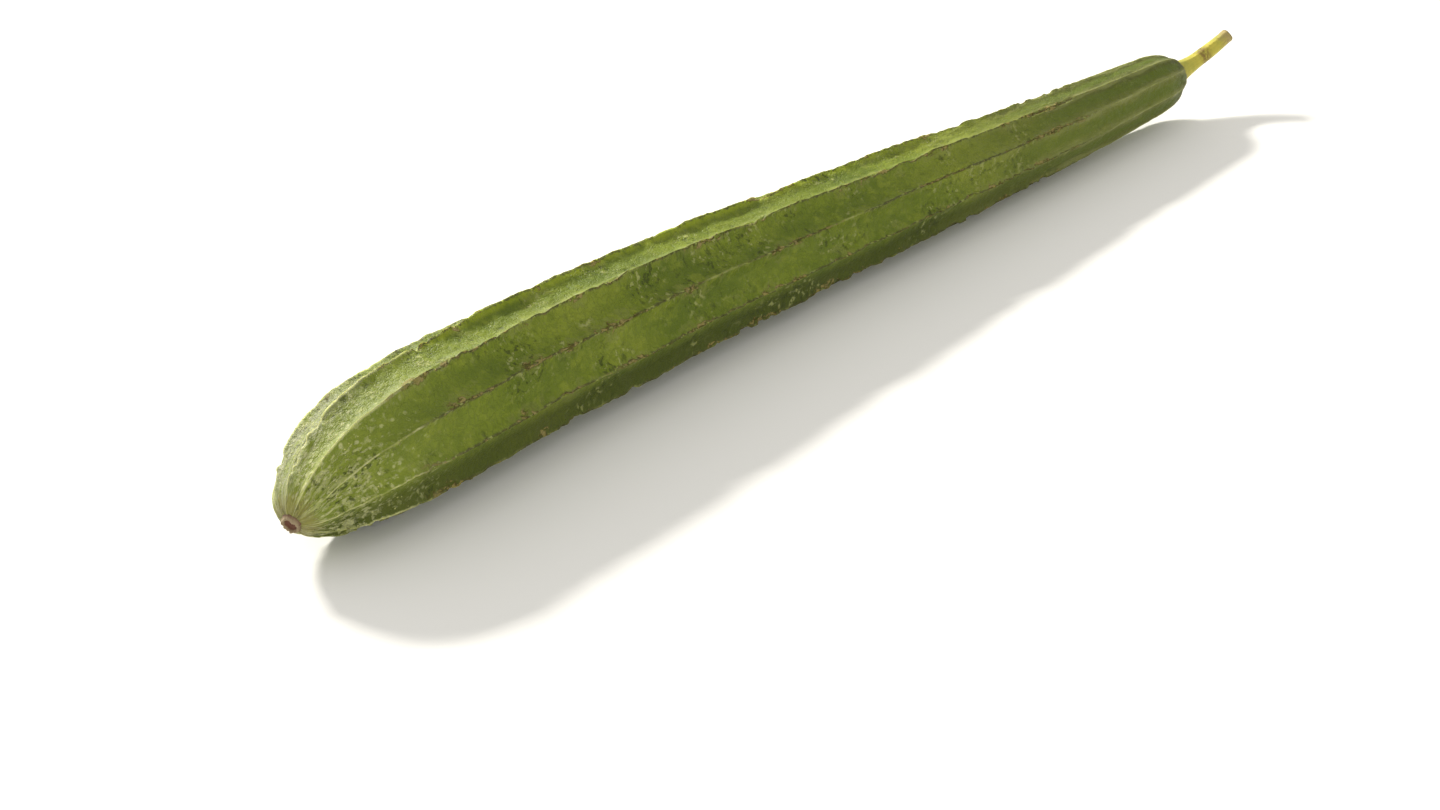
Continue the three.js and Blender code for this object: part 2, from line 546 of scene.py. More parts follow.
def bumpFrom(pen, shader, height, depth):
    made = pen.node("ShaderNodeBump", {"Height": height, "Strength": 1.0, "Distance": depth})
    pen.tree.links.new(made.outputs[0], shader.inputs["Normal"])


rind = {
    "deepGreen": (0.090, 0.128, 0.006),
    "leafGreen": (0.148, 0.192, 0.011),
    "yellowGreen": (0.225, 0.262, 0.024),
    "dullGreen": (0.175, 0.195, 0.042),  # rubbed skin
    "neckOlive": (0.128, 0.138, 0.026),
    "neckHighlightPale": (0.225, 0.240, 0.075),
    "scratchGreen": (0.040, 0.055, 0.005),
    "tipGreen": (0.300, 0.350, 0.060),
    "paleSpeckAndHighlight": (0.380, 0.395, 0.150),
    "crestDark": (0.046, 0.048, 0.008),
    "scabBrown": (0.080, 0.057, 0.013),
    "scabTan": (0.255, 0.215, 0.072),
    "frostAndGlint": (0.500, 0.505, 0.245),
    "bloomSheen": (0.235, 0.245, 0.150),
    "glowYellow": (0.255, 0.310, 0.010),
    "paintedShadeGreen": (0.043, 0.056, 0.003),
    "roughness": 0.55,
    "specular": 0.20,
    "subsurface": 0.30,
    "subsurfaceRadius": (0.9, 1.0, 0.15),
    "subsurfaceScale": 2.4 * millimetre,
    "bump": 0.75 * millimetre,
    # where the finishes begin and end, from the blossom scar
    "neck": (0.30, 0.44),
    "stain": (0.462, 0.479),
    "crestLines": (0.028, 0.062, 0.380, 0.435),
    # how strongly each finish covers what lies below it
    "yellowClouds": 0.60,
    "deepClouds": 0.45,
    "yellowBlotches": 0.42,
    "deepBlotches": 0.45,
    "mottling": 0.22,
    "crackling": 0.20,
    "rubbing": 0.40,
    "shading": 0.80,
    "neckOver": 0.70,
    "neckTopShade": 0.50,
    "neckRidgeHighlights": 0.60,
    "neckHollowShade": 0.70,
    "staining": 0.70,
    "tipDots": 0.75,
    "tipFlakes": 0.62,
    "tipStreaks": 0.55,
    "sheenBloomShare": 0.60,
    "collar": 0.60,
    "finLight": 0.65,
    "paleSpecks": 0.55,
    "darkSpecks": 0.75,
    "scratches": 0.50,
    "glints": 0.75,
    "brokenLines": 0.90,
    "scabs": 0.80,
    "tanScabs": 0.90,
    "marks": 0.65,
}

rindGrain = {  # how fine the patterns on the rind are, in turns a metre, or round it and along it
    "broad": 25.0,
    "clouds": 62.0,
    "blotches": 190.0,
    "mottle": 900.0,
    "pores": 2400.0,
    "crackle": 300.0,
    "ragged": 560.0,
    "rubs": (95.0, 60.0),
    "neckStreaks": (260.0, 45.0),
    "dots": 330.0,
    "flecks": (620.0, 430.0),
    "streaks": (460.0, 150.0),
    "speckGroups": 44.0,
    "specks": (400.0, 430.0),
    "scratches": (120.0, 620.0),
    "scratchGroups": 40.0,
    "crestRuns": 34.0,
    "crestDashes": 110.0,
    "crestGrain": (1100.0, 420.0),
    "marks": 88.0,
}


def makeRindMaterial():
    made, pen, shader = newMaterial("gourdRind")
    laid = readAttribute(pen, "unrolled", "Vector")
    fromCrest = readAttribute(pen, "fromCrest")
    along = readAttribute(pen, "along")
    rib = readAttribute(pen, "rib")
    worn = readAttribute(pen, "worn")
    bites = readAttribute(pen, "bites")

    # Greens: broad clouds, then blotches, then a fine mottle.
    stretched = pen.vectorMath("MULTIPLY", laid, (1.0, 1.0, 0.5))
    broad = pen.noise(stretched, rindGrain["broad"])
    clouds = pen.noise(stretched, rindGrain["clouds"], 4.0, 0.6)
    blotches = pen.noise(laid, rindGrain["blotches"], 4.0, 0.6)
    mottle = pen.noise(laid, rindGrain["mottle"], 3.0, 0.6)
    skin = Coats(pen, rind, "deepGreen")
    skin.lay(pen.smooth(clouds, 0.36, 0.64), "leafGreen")
    skin.lay(pen.smooth(broad, 0.48, 0.68) * rind["yellowClouds"], "yellowGreen")
    skin.lay(pen.smooth(broad, 0.46, 0.30) * rind["deepClouds"], "deepGreen")
    skin.lay(pen.smooth(blotches, 0.50, 0.68) * rind["yellowBlotches"], "yellowGreen")
    skin.lay(pen.smooth(blotches, 0.46, 0.32) * rind["deepBlotches"], "deepGreen")
    skin.lay(pen.smooth(mottle, 0.50, 0.72) * rind["mottling"], "deepGreen")

    # A leathery crackle, finer than the blotches.
    crackleScale = rindGrain["crackle"]
    bent = pen.node("ShaderNodeTexNoise", {"Vector": laid, "Scale": crackleScale, "Detail": 2.0})
    bent = pen.vectorMath("SUBTRACT", pen.field(bent, "Color"), (0.5, 0.5, 0.5))
    crinkled = pen.vectorMath("ADD", laid, pen.scaled(bent, 9.0 * millimetre))
    cells = pen.node(
        "ShaderNodeTexVoronoi", {"Vector": crinkled, "Scale": crackleScale}, feature="DISTANCE_TO_EDGE"
    )
    crackle = pen.smooth(pen.field(cells), 0.02, 0.16, 1.0, 0.0)
    crackleHere = crackle * pen.smooth(clouds, 0.38, 0.58)
    skin.lay(crackleHere * rind["crackling"], "scratchGreen")

    # Rubbed skin is duller and paler, in ragged patches that lie along the crests.
    ragged = pen.noise(laid, rindGrain["ragged"], 3.0, 0.65) - 0.5
    rubs = pen.drawnNoise(laid, rindGrain["rubs"], 4.0, 0.65)
    rubReach = pen.smooth(rubs, 0.46, 0.70, 0.05, 0.95) + ragged * 0.5
    rubbed = pen.smooth(fromCrest - rubReach, 0.05, -0.10)
    skin.lay(rubbed * rind["rubbing"], "dullGreen")

    # The side that the gourd lies on is painted darker, as shade. Heights are those on the plain tube of
    # the patterns.
    sideways, height, _ = pen.parts(laid)
    skin.lay(pen.smooth(height, -0.0005, -0.0085) * rind["shading"], "paintedShadeGreen")

    # The neck is duller, with painted highlights on its ridges and painted shade in its hollows, and its
    # shoulder is stained.
    neck = pen.smooth(along, *rind["neck"])
    neckStreaks = pen.drawnNoise(laid, rindGrain["neckStreaks"], 3.0, 0.6)
    ridgeHighlight = pen.smooth(fromCrest + (neckStreaks - 0.5) * 1.4, 0.40, 0.05)
    hollowShade = pen.smooth(fromCrest + (neckStreaks - 0.5) * 1.2, 0.35, 0.80)
    skin.lay(neck * rind["neckOver"], "neckOlive")
    # Painted shade: the top of the neck is painted darker.
    shadedNeckTop = pen.smooth(height, 0.0120, 0.0190)
    skin.lay(neck * shadedNeckTop * rind["neckTopShade"], "paintedShadeGreen")
    skin.lay(neck * ridgeHighlight * rind["neckRidgeHighlights"], "neckHighlightPale")
    skin.lay(neck * hollowShade * rind["neckHollowShade"], "deepGreen")
    stain = pen.smooth(along, *rind["stain"]) * pen.smooth(blotches, 0.35, 0.58)
    skin.lay(stain * rind["staining"], "crestDark")

    # The blossom end is paler, and paler still on its upper side as painted light, with pale dots and
    # frosty streaks that draw together.
    tipPaleLitTop = pen.smooth(along, 0.090, 0.010) * pen.smooth(height, -0.014, 0.008, 0.06, 0.30)
    skin.lay(tipPaleLitTop, "tipGreen")
    spots = pen.node("ShaderNodeTexVoronoi", {"Vector": laid, "Scale": rindGrain["dots"]}, feature="F1")
    tipDots = pen.smooth(pen.field(spots), 0.14, 0.34, 1.0, 0.0) * pen.smooth(ragged, -0.06, 0.04)
    nearTip = pen.smooth(along + ragged * 0.05, 0.070, 0.020)
    skin.lay(tipDots * nearTip * rind["tipDots"], "frostAndGlint")
    flecks = pen.drawnNoise(laid, rindGrain["flecks"], 3.0, 0.6)
    flaky = pen.smooth(flecks, 0.53, 0.60) * pen.smooth(along + ragged * 0.06, 0.050, 0.006)
    skin.lay(flaky * rind["tipFlakes"], "frostAndGlint")
    streaks = pen.drawnNoise(laid, rindGrain["streaks"], 4.0, 0.65)
    veryTip = pen.smooth(along, 0.028, 0.003)
    skin.lay(pen.smooth(streaks, 0.46, 0.62) * veryTip * rind["tipStreaks"], "frostAndGlint")
    # A pale waxy coat on the upper far side of the tip, partly painted sheen of the light from behind.
    bloomSheen = pen.smooth(along, 0.080, 0.020) * pen.smooth(height, -0.002, 0.010)
    bloomSheen = bloomSheen * pen.smooth(sideways, 0.002, -0.009) * pen.smooth(streaks, 0.36, 0.56)
    skin.lay(bloomSheen * rind["sheenBloomShare"], "bloomSheen")
    collar = pen.smooth(along + (streaks - 0.5) * 0.012, 0.0048, 0.0008)
    skin.lay(collar * rind["collar"], "scabTan")

    # The topmost ridge is thin; the light that shines through it under its crest is painted as a yellow
    # glow.
    finGlow = pen.smooth(fromCrest, 0.34, 0.10) * pen.smooth(height, 0.0182, 0.0200)
    finGlow = finGlow * pen.smooth(sideways, 0.0010, -0.0030) * pen.smooth(along, 0.040, 0.090)
    finGlow = finGlow * pen.smooth(along, 0.400, 0.280) * pen.smooth(blotches, 0.32, 0.52)
    skin.lay(finGlow * rind["finLight"], "glowYellow")

    # Rough specks in groups, some pale and some dark, and short scratches across the faces.
    groups = pen.smooth(pen.noise(laid, rindGrain["speckGroups"], 4.0, 0.6), 0.48, 0.61)
    groups = groups * (1.0 - 0.8 * neck)
    specks = pen.drawnNoise(laid, rindGrain["specks"], 3.0, 0.6)
    paleSpecks = pen.smooth(specks, 0.56, 0.64) * groups
    darkSpecks = pen.smooth(specks, 0.44, 0.37) * groups
    skin.lay(paleSpecks * rind["paleSpecks"], "paleSpeckAndHighlight")
    skin.lay(darkSpecks * rind["darkSpecks"], "scratchGreen")
    lines = pen.drawnNoise(laid, rindGrain["scratches"], 3.0)
    scratched = pen.smooth(pen.noise(stretched, rindGrain["scratchGroups"], 3.0), 0.54, 0.64)
    scratches = pen.smooth(lines, 0.62, 0.68) * scratched
    skin.lay(scratches * rind["scratches"], "scratchGreen")

    # Crests: a pale edge of painted highlight that turns into broken brown lines, with scabs where they
    # were chewed.
    ribLine = pen.vector(along, rib * ribSpacing, 2.0)
    runs = pen.smooth(pen.noise(ribLine, rindGrain["crestRuns"], 3.0), 0.33, 0.44)
    begin, full, fading, end = rind["crestLines"]
    body = pen.smooth(along, begin, full) * pen.smooth(along + ragged * 0.03, end, fading)
    grain = pen.drawnNoise(laid, rindGrain["crestGrain"])
    # Painted highlight: the pale crest edge where the crests catch the light.
    edge = pen.smooth(fromCrest + ragged * 0.12, 0.015, 0.080, 1.0, 0.0)
    dashes = pen.smooth(pen.noise(ribLine, rindGrain["crestDashes"]), 0.44, 0.54)
    highlightShare = (0.80 - 0.35 * body - 0.45 * neck) * (0.45 + 0.55 * dashes)
    skin.lay(edge * highlightShare, "paleSpeckAndHighlight")
    # Painted glint: a whitish highlight on the upper crests near the tip, where they catch the light.
    litUpperCrests = pen.smooth(height, 0.0150, 0.0185)
    dashes = pen.math("MAXIMUM", dashes, litUpperCrests) * pen.smooth(along, 0.078, 0.045)
    glint = pen.smooth(fromCrest + ragged * 0.08, 0.012, 0.055 + litUpperCrests * 0.055, 1.0, 0.0)
    skin.lay(glint * dashes * rind["glints"], "frostAndGlint")
    line = pen.smooth(fromCrest + ragged * 0.22, 0.02, 0.10, 1.0, 0.0)
    broken = pen.smooth(grain, 0.32, 0.46) * runs * body
    skin.lay(line * broken * rind["brokenLines"], "crestDark")
    scabReach = pen.smooth(rubs, 0.48, 0.72, -0.05, 0.42) + worn * 0.06
    scab = pen.smooth(fromCrest - scabReach + ragged * 0.40, 0.03, -0.05)
    scab = pen.math("MAXIMUM", scab, bites * line) * body
    speckle = pen.smooth(grain + ragged * 0.5, 0.40, 0.54)
    skin.lay(scab * speckle * rind["scabs"], "scabBrown")
    tan = pen.smooth(grain - ragged * 0.4, 0.50, 0.60)
    skin.lay(scab * tan * rind["tanScabs"], "scabTan")

    # Small brown rub marks on the faces.
    marks = pen.smooth(pen.noise(laid, rindGrain["marks"], 5.0, 0.75), 0.64, 0.71)
    marks = marks * pen.smooth(grain, 0.44, 0.58)
    skin.lay(marks * rind["marks"], "scabBrown")

    pen.put(shader.inputs["Base Color"], skin.colour)
    pen.put(shader.inputs["Roughness"], rind["roughness"] + (mottle - 0.5) * 0.25 + scab * 0.3)
    shader.inputs["Specular IOR Level"].default_value = rind["specular"]
    shader.inputs["Subsurface Weight"].default_value = rind["subsurface"]
    shader.inputs["Subsurface Radius"].default_value = rind["subsurfaceRadius"]
    shader.inputs["Subsurface Scale"].default_value = rind["subsurfaceScale"]
    pores = pen.noise(laid, rindGrain["pores"])
    relief = blotches + mottle * 0.30 + pores * 0.06 - crackle * 0.14 + flaky * 0.30
    relief = relief + scab * speckle * 0.35 + (paleSpecks - darkSpecks) * 0.40 - scratches * 0.30
    bumpFrom(pen, shader, relief, rind["bump"])
    return made


stalkLooks = {
    "paleYellow": (0.480, 0.415, 0.062),
    "yellowGreen": (0.320, 0.320, 0.048),
    "footGreen": (0.210, 0.235, 0.045),
    "patchBrown": (0.150, 0.085, 0.028),
    "cutTan": (0.300, 0.220, 0.110),
    "cutBrown": (0.090, 0.055, 0.025),
    "roughness": 0.60,
    "specular": 0.25,
    "bump": 0.35 * millimetre,
    "fibreGrain": (1500.0, 100.0),  # turns a metre, round and along
    "bruise": (0.0145, 0.0180, 0.0195, 0.0235),  # where it begins, is full, fades and ends
}


def makeStalkMaterial():
    made, pen, shader = newMaterial("stalkFibre")
    laid = readAttribute(pen, "unrolled", "Vector")
    along = readAttribute(pen, "along")
    fromCrest = readAttribute(pen, "fromCrest")
    fibres = pen.drawnNoise(laid, stalkLooks["fibreGrain"], 3.0)
    clouds = pen.noise(laid, 170.0, 3.0)
    skin = Coats(pen, stalkLooks, "paleYellow")
    skin.lay(pen.smooth(clouds, 0.36, 0.66) * 0.8, "yellowGreen")
    skin.lay(pen.smooth(fibres, 0.5, 0.75) * 0.45, "yellowGreen")
    foot = pen.smooth(along + (fibres - 0.5) * 0.006, 0.0045, 0.0)
    skin.lay(foot * 0.8, "footGreen")
    skin.lay(pen.smooth(fromCrest, 0.6, 1.0) * 0.30, "yellowGreen")
    ragged = pen.noise(laid, 420.0, 4.0, 0.7)
    begin, full, fading, end = stalkLooks["bruise"]
    bruise = pen.smooth(along, begin, full) * pen.smooth(along, end, fading)
    bruise = bruise * pen.smooth(ragged, 0.40, 0.56)
    specks = pen.smooth(pen.noise(laid, 330.0, 5.0, 0.75), 0.60, 0.68)
    patches = pen.math("MAXIMUM", bruise * 0.8, specks * 0.7)
    skin.lay(patches, "patchBrown")
    dry = pen.smooth(along + (ragged - 0.5) * 0.010, 0.0265, 0.0335)
    skin.lay(dry * 0.75, "cutTan")
    cut = pen.smooth(along, 0.0336, 0.0342) * pen.smooth(ragged, 0.36, 0.56)
    skin.lay(cut * 0.8, "cutBrown")
    pen.put(shader.inputs["Base Color"], skin.colour)
    pen.put(shader.inputs["Roughness"], stalkLooks["roughness"] + (fibres - 0.5) * 0.3)
    shader.inputs["Specular IOR Level"].default_value = stalkLooks["specular"]
    bumpFrom(pen, shader, fibres + clouds * 0.5 + patches * 0.3, stalkLooks["bump"])
    return made


scarLooks = {
    "pitBrown": (0.110, 0.036, 0.016),
    "rimTan": (0.285, 0.215, 0.120),
    "crustBrown": (0.110, 0.060, 0.026),
    "roughness": 0.75,
    "grain": 1500.0,  # turns a metre
    "bump": 0.5 * millimetre,
}


def makeScarMaterial():
    made, pen, shader = newMaterial("scarCork")
    shade = readAttribute(pen, "shade")
    rough = pen.noise(objectPlace(pen), scarLooks["grain"], 4.0, 0.7)
    skin = Coats(pen, scarLooks, "pitBrown")
    skin.lay(pen.smooth(shade, 0.12, 0.62), "rimTan")
    skin.lay(pen.smooth(rough, 0.50, 0.66) * 0.50, "crustBrown")
    pen.put(shader.inputs["Base Color"], skin.colour)
    pen.put(shader.inputs["Roughness"], scarLooks["roughness"] + (rough - 0.5) * 0.3)
    bumpFrom(pen, shader, rough, scarLooks["bump"])
    return made


def makeFlakeMaterial(name, dark, light, roughness):
    made, pen, shader = newMaterial(name)
    shade = pen.noise(objectPlace(pen), 700.0, 3.0, 0.7)
    pen.put(shader.inputs["Base Color"], mixColour(pen, pen.smooth(shade, 0.35, 0.65), dark, light))
    pen.put(shader.inputs["Roughness"], roughness + (shade - 0.5) * 0.2)
    bumpFrom(pen, shader, shade, 0.2 * millimetre)
    return made


fruit = {
    "length": 0.480,
    "crestRadius": 0.024,
    "neckRadius": 0.0125,
    "scarRadius": 0.0034,
    "seatRadius": 0.0068,  # the flat that the stalk grows from
    "belly": 0.067,  # distance from the scar to the fattest place
    "shoulder": 0.4584,  # where the neck rounds in
    "ribs": 10,
    "ribDepth": 0.15,
    "neckRibDepth": 0.08,
    "pressedFlat": 0.0005,  # what the ridges under the fruit give by its weight
    "rings": 636,
    "stepsPerRib": 15,
}


def fruitOutline():
    tip = fruit["scarRadius"]
    fat = fruit["crestRadius"]
    neck = fruit["neckRadius"]
    belly = fruit["belly"]
    shoulder = fruit["shoulder"]
    end = fruit["length"]
    seat = fruit["seatRadius"]
    stretches = [
        straight((0, 0, 0), (tip, 0, 0)),
        flat((tip, 0), (0.0117, 0.003), (fat, 0.0205), (fat, belly)),
        flat((fat, belly), (fat, 0.166), (0.0195, 0.317), (neck, shoulder)),
        flat((neck, shoulder), (0.0122, 0.98 * end), (0.0094, 0.994 * end), (seat, end)),
        straight((seat, end, 0), (0, end, 0)),
    ]
    return bezierCurve("fruitOutline", stretches)


def fruitCentreline():
    restingHeight = fruit["crestRadius"] * math.cos(math.pi / fruit["ribs"]) - fruit["pressedFlat"]
    belly = fruit["belly"]
    head = [(0, 0, 0.0165), (0.023, 0.0063, 0.0233), (0.055, 0.0081, restingHeight)]
    knot = (belly, 0.0088, restingHeight)
    body = [(0.197, 0.0165, restingHeight), (0.340, 0.0042, 0.0148), (fruit["length"], 0.002, 0.0156)]
    stretches = [[*head, knot], [knot, *body]]
    return [[Vector(point) for point in stretch] for stretch in stretches]


sweepTree = buildRibbedSweep()
scatterTree = buildScatter()
print("gourd: node trees built")

centreStretches = fruitCentreline()
outlineCurve = fruitOutline()
centreCurve = bezierCurve("fruitCentreline", centreStretches)
rindMaterial = makeRindMaterial()

fruitShape = {
    "Outline": outlineCurve,
    "Centreline": centreCurve,
    "Length": fruit["length"],
    "Rings": fruit["rings"],
    "Steps per Rib": fruit["stepsPerRib"],
    "Ribs": fruit["ribs"],
    "Rib Depth": fruit["ribDepth"],
    "End Rib Depth": fruit["neckRibDepth"],
    "Fade From": 0.6 * fruit["length"],
    "Sharpness": 3.0,
    "Crowding": 0.5,
    "Round Tip": 0.012,
    "Pattern Radius": 0.021,  # of the plain tube that the patterns lie on
    "Meander": 0.0,
    "Crest Lean": 0.0,
    "Crest Swing": 0.0,
    "Nick Depth": 0.0,
    "Wear Until": 0.435,
    "Swell": 0.0,
    "Dents": 0.0,
    "Leather": 0.0,
    "Blisters": 0.0,
    "Wrinkle": 0.0,
    "Seed": 0.0,
    "Origin": (0.0, 0.0, 0.0),
    "Ground": 0.0,
    "Material": rindMaterial,
}

fruitWear = {
    "Meander": 0.036,  # radians
    "Crest Lean": 0.026,  # radians
    "Crest Swing": 0.90 * millimetre,
    "Nick Depth": 1.6 * millimetre,
    "Swell": 0.45 * millimetre,
    "Dents": 0.36 * millimetre,
    "Leather": 0.18 * millimetre,
    "Blisters": 0.30 * millimetre,
    "Wrinkle": 0.15 * millimetre,
    "Seed": 3.7,
}


def boxMiddle(low, high):
    return (Vector(low) + Vector(high)) / 2


def meshBox(mesh):
    axes = list(zip(*(vertex.co for vertex in mesh.vertices)))
    return [min(axis) for axis in axes], [max(axis) for axis in axes]


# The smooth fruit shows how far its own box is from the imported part's.
smoothRings = 200
smoothFruit = runTree("smoothFruit", sweepTree, {**fruitShape, "Rings": smoothRings})
shift = boxMiddle(*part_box("fruit")) - boxMiddle(*meshBox(smoothFruit.data))
shift.z = 0
discard(smoothFruit)
print("gourd: shift to the packed frame", [round(value, 5) for value in shift])

gourdRind = runTree("gourdRind", sweepTree, {**fruitShape, **fruitWear, "Origin": tuple(shift)})


stalk = {
    "length": 0.0345,
    "baseRadius": 0.0062,
    "radius": 0.0032,
    "cutRadius": 0.0029,
    "gap": 0.0003,  # between the fruit and its foot
    "straightShare": 0.45,
    "tipReach": (0.0154, -0.0049, 0.0096),  # from where it bends to its cut end
    "sides": 5,
}


def stalkOutline():
    length = stalk["length"]
    thin = stalk["radius"]
    cut = stalk["cutRadius"]
    base = stalk["baseRadius"]
    stretches = [
        straight((0, 0, 0), (base, 0, 0)),
        flat((base, 0), (0.0049, 0.1 * length), (thin, 0.28 * length), (thin, 0.55 * length)),
        flat(
            (thin, 0.55 * length),
            (thin, 0.72 * length),
            (cut * 0.95, 0.9 * length),
            (cut, 0.985 * length),
        ),
        flat((cut, 0.985 * length), (cut, length), (cut * 0.9, length), (cut * 0.8, length)),
        flat((cut * 0.8, length), (cut * 0.5, length), (cut * 0.4, 0.98 * length), (0, 0.98 * length)),
    ]
    return bezierCurve("stalkOutline", stretches)


def stalkCentreline():
    end = centreStretches[-1]
    along = (end[3] - end[2]).normalized()
    base = end[3] + along * stalk["gap"]
    middle = base + along * (stalk["straightShare"] * stalk["length"])
    tip = middle + Vector(stalk["tipReach"])
    stretch = [base, base.lerp(middle, 2 / 3), tip.lerp(middle, 2 / 3), tip]
    return bezierCurve("stalkCentreline", [stretch])


stalkShape = {
    "Outline": stalkOutline(),
    "Centreline": stalkCentreline(),
    "Length": stalk["length"],
    "Rings": 150,
    "Steps per Rib": 14,
    "Ribs": stalk["sides"],
    "Rib Depth": 0.09,
    "End Rib Depth": 0.07,
    "Fade From": 0.5 * stalk["length"],
    "Sharpness": 1.4,
    "Crowding": -0.3,
    "Round Tip": 0.0004,
    "Pattern Radius": 0.0035,
    "Meander": 0.05,
    "Crest Lean": 0.0,
    "Crest Swing": 0.12 * millimetre,
    "Nick Depth": 0.15 * millimetre,
    "Wear Until": 0.1,  # past its cut end, so all of it wears
    "Swell": 0.15 * millimetre,
    "Dents": 0.06 * millimetre,
    "Leather": 0.05 * millimetre,
    "Blisters": 0.0,
    "Wrinkle": 0.05 * millimetre,
    "Seed": 1.3,
    "Origin": tuple(shift),
    "Ground": 0.0,
    "Material": makeStalkMaterial(),
}
stalkFibre = runTree("stalkFibre", sweepTree, stalkShape)


scar = {
    "radius": fruit["scarRadius"],
    "hole": 0.06,  # of the radius, round the middle
    "tear": 0.13,  # of the radius
    "rim": 0.0017,  # how far the corky rim stands out
    "rimAt": 0.74,  # of the radius
    "rimSpread": 0.16,
    "cup": 0.0012,  # how deep the middle lies below the rim
    "sink": 0.0002,  # of the very middle
    "bumps": 0.00022,
    "lip": 0.0011,  # how far the outer edge turns down
    "lipFrom": 0.84,  # of the radius
    "root": 0.0006,  # how far it reaches into the rind
    "rings": 26,
    "steps": 72,
}


def makeScar(material):
    # A small dry button: a torn rim round a sunk middle, closed underneath.
    mesh = bpy.data.meshes.new("blossomScar")
    build = bmesh.new()
    shade = build.verts.layers.float.new("shade")
    start = centreStretches[0]
    outward = (start[0] - start[1]).normalized()
    turnTo = outward.to_track_quat("Z", "Y").to_matrix().to_4x4()
    place = Matrix.Translation(start[0] + shift) @ turnTo
    floorHeight = scar["rim"] - scar["cup"]
    loops = []
    for i in range(scar["rings"]):
        share = i / (scar["rings"] - 1)
        lip = max(0.0, (share - scar["lipFrom"]) / (1 - scar["lipFrom"]))
        loop = []
        for j in range(scar["steps"]):
            angle = 2 * math.pi * j / scar["steps"]
            spot = Vector((math.cos(angle), math.sin(angle), share))
            torn = noise.noise(spot * 1.9) + 0.7 * noise.noise(spot * 5.3)
            radius = scar["radius"] * (scar["hole"] + (1 - scar["hole"]) * share)
            radius = radius * (1 + scar["tear"] * torn * share)
            fromRim = (share - scar["rimAt"] + 0.10 * torn) / scar["rimSpread"]
            rimShape = math.exp(-(fromRim**2)) * (1 + 0.5 * torn)
            bumps = scar["bumps"] * noise.noise(Vector((radius * 1400, angle * 0.9, 4.0)))
            height = floorHeight + bumps + scar["cup"] * max(0.0, rimShape) - scar["lip"] * lip**2
            vertex = build.verts.new((radius * math.cos(angle), radius * math.sin(angle), height))
            vertex[shade] = rimShape + 1.2 * max(0.0, share - 0.8)
            loop.append(vertex)
        loops.append(loop)
    middle = build.verts.new((0, 0, floorHeight - scar["sink"]))
    bottom = build.verts.new((0, 0, -scar["root"]))
    for j in range(scar["steps"]):
        k = (j + 1) % scar["steps"]
        build.faces.new((middle, loops[0][j], loops[0][k]))
        build.faces.new((bottom, loops[-1][k], loops[-1][j]))
        for inner, outer in zip(loops, loops[1:]):
            build.faces.new((inner[j], outer[j], outer[k], inner[k]))
    bmesh.ops.transform(build, matrix=place, verts=build.verts)
    bmesh.ops.recalc_face_normals(build, faces=build.faces)
    for face in build.faces:
        face.smooth = True
    build.to_mesh(mesh)
    build.free()
    mesh.materials.append(material)
    return addObject("blossomScar", mesh)


blossomScar = makeScar(makeScarMaterial())
print("gourd: blossom scar made")


# Dry flakes on the crests, and pale dots near the blossom end
scabs = {
    "Surface": gourdRind,
    "Density": 420000.0,  # a square metre of worn crest
    "Crest Reach": 0.16,
    "Worn Only": 0.95,  # share of the flakes that need a worn crest
    "Low Along": 0.030,
    "High Along": 0.60,
    "Patch Scale": 90.0,
    "Patch Start": 0.40,
    "Size": (1.6 * millimetre, 0.50 * millimetre, 0.22 * millimetre),
    "Smallest": 0.30,
    "Tilt": 0.5,
    "Seed": 11,
    "Material": makeFlakeMaterial("scabFlake", (0.075, 0.058, 0.014), (0.240, 0.204, 0.072), 0.8),
}
crestScabs = runTree("crestScabs", scatterTree, scabs)

dots = {
    "Surface": gourdRind,
    "Density": 44000.0,  # a square metre of rind
    "Crest Reach": 3.0,
    "Worn Only": 0.0,
    "Low Along": 0.002,
    "High Along": 0.050,
    "Patch Scale": 120.0,
    "Patch Start": 0.35,
    "Size": (0.95 * millimetre, 0.58 * millimetre, 0.15 * millimetre),
    "Smallest": 0.30,
    "Tilt": 0.2,
    "Seed": 23,
    "Material": makeFlakeMaterial("corkyDot", (0.330, 0.340, 0.090), (0.490, 0.475, 0.170), 0.6),
}
corkyDots = runTree("corkyDots", scatterTree, dots)

for helper in (outlineCurve, centreCurve, stalkShape["Outline"], stalkShape["Centreline"]):
    discard(helper)

for piece in (gourdRind, blossomScar, crestScabs, corkyDots):
    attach(piece, "root")
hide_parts("fruit")
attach(stalkFibre, "root")
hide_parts("stalk")
print("gourd: pieces ride on the frame")


studio = {
    "floorSize": 8.0,
    "floorDrop": 0.0002,  # below the lowest ridges
    "floorColour": (0.84, 0.84, 0.83),
    "floorRoughness": 0.9,
    "worldColour": (1.0, 0.975, 0.92),
    "worldStrength": 0.80,
    "lightsAim": (-0.03, 0.0, 0.02),
    "keyFrom": (0.13, 1.34, 0.84),
    "keySize": (0.38, 0.13),
    "keyEnergy": 46.0,
    "keyColour": (1.0, 0.96, 0.88),
    "fillFrom": (-1.25, -1.15, 0.42),
    "fillSize": (1.2, 0.7),
    "fillEnergy": 6.0,
    "fillColour": (1.0, 1.0, 1.0),
}


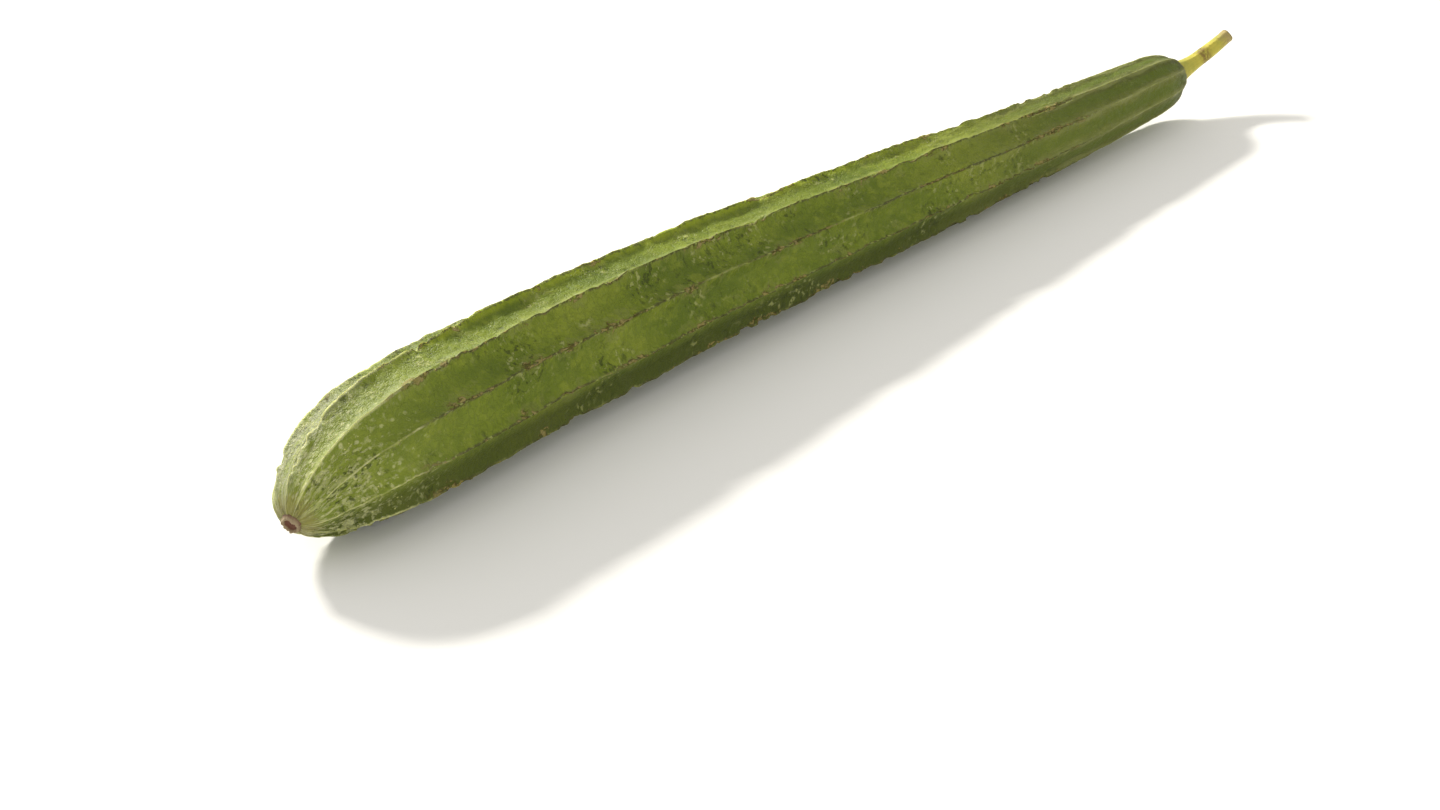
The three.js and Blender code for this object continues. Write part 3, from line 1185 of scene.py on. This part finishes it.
def makeFloor():
    bpy.ops.mesh.primitive_plane_add(size=studio["floorSize"], location=(0, 0, -studio["floorDrop"]))
    floor = bpy.context.object
    floor.name = "studioFloor"
    made, pen, shader = newMaterial("studioPaper")
    shader.inputs["Base Color"].default_value = (*studio["floorColour"], 1.0)
    shader.inputs["Roughness"].default_value = studio["floorRoughness"]
    shader.inputs["Specular IOR Level"].default_value = 0.1
    floor.data.materials.append(made)


def addSoftbox(name, kind):
    # A rectangle of light, from the studio's values for this kind of light.
    data = bpy.data.lights.new(name, "AREA")
    data.shape = "RECTANGLE"
    data.size, data.size_y = studio[kind + "Size"]
    data.energy = studio[kind + "Energy"]
    data.color = studio[kind + "Colour"]
    lamp = addObject(name, data)
    lamp.location = studio[kind + "From"]
    beam = Vector(studio["lightsAim"]) - lamp.location
    lamp.rotation_euler = beam.to_track_quat("-Z", "Y").to_euler()


def lightStudio():
    world = bpy.data.worlds.new("studioAir")
    world.use_nodes = True
    background = world.node_tree.nodes["Background"]
    background.inputs["Color"].default_value = (*studio["worldColour"], 1.0)
    background.inputs["Strength"].default_value = studio["worldStrength"]
    bpy.context.scene.world = world
    addSoftbox("keyBehind", "key")
    addSoftbox("frontFill", "fill")


camera = {
    "azimuth": -50.2,
    "elevation": 28.4,
    "distance": 1.032,
    "aim": (-0.1169, -0.0597, 0.020),
    "roll": 1.4,
    "lens": 80.7,
    "sensor": 36.0,
    "nearest": 0.01,
}


def placeCamera():
    data = bpy.data.cameras.new("camera")
    data.sensor_width = camera["sensor"]
    data.lens = camera["lens"]
    data.clip_start = camera["nearest"]
    made = addObject("camera", data)
    azimuth = math.radians(camera["azimuth"])
    elevation = math.radians(camera["elevation"])
    level = math.cos(elevation)
    back = Vector((math.sin(azimuth) * level, -math.cos(azimuth) * level, math.sin(elevation)))
    made.location = Vector(camera["aim"]) + back * camera["distance"]
    look = (-back).to_track_quat("-Z", "Y").to_matrix()
    roll = Matrix.Rotation(math.radians(camera["roll"]), 3, "Z")
    made.rotation_euler = (look @ roll).to_euler()
    bpy.context.scene.camera = made


makeFloor()
lightStudio()
placeCamera()
bpy.context.scene.view_settings.view_transform = "Standard"
print("gourd: floor, light and camera placed")
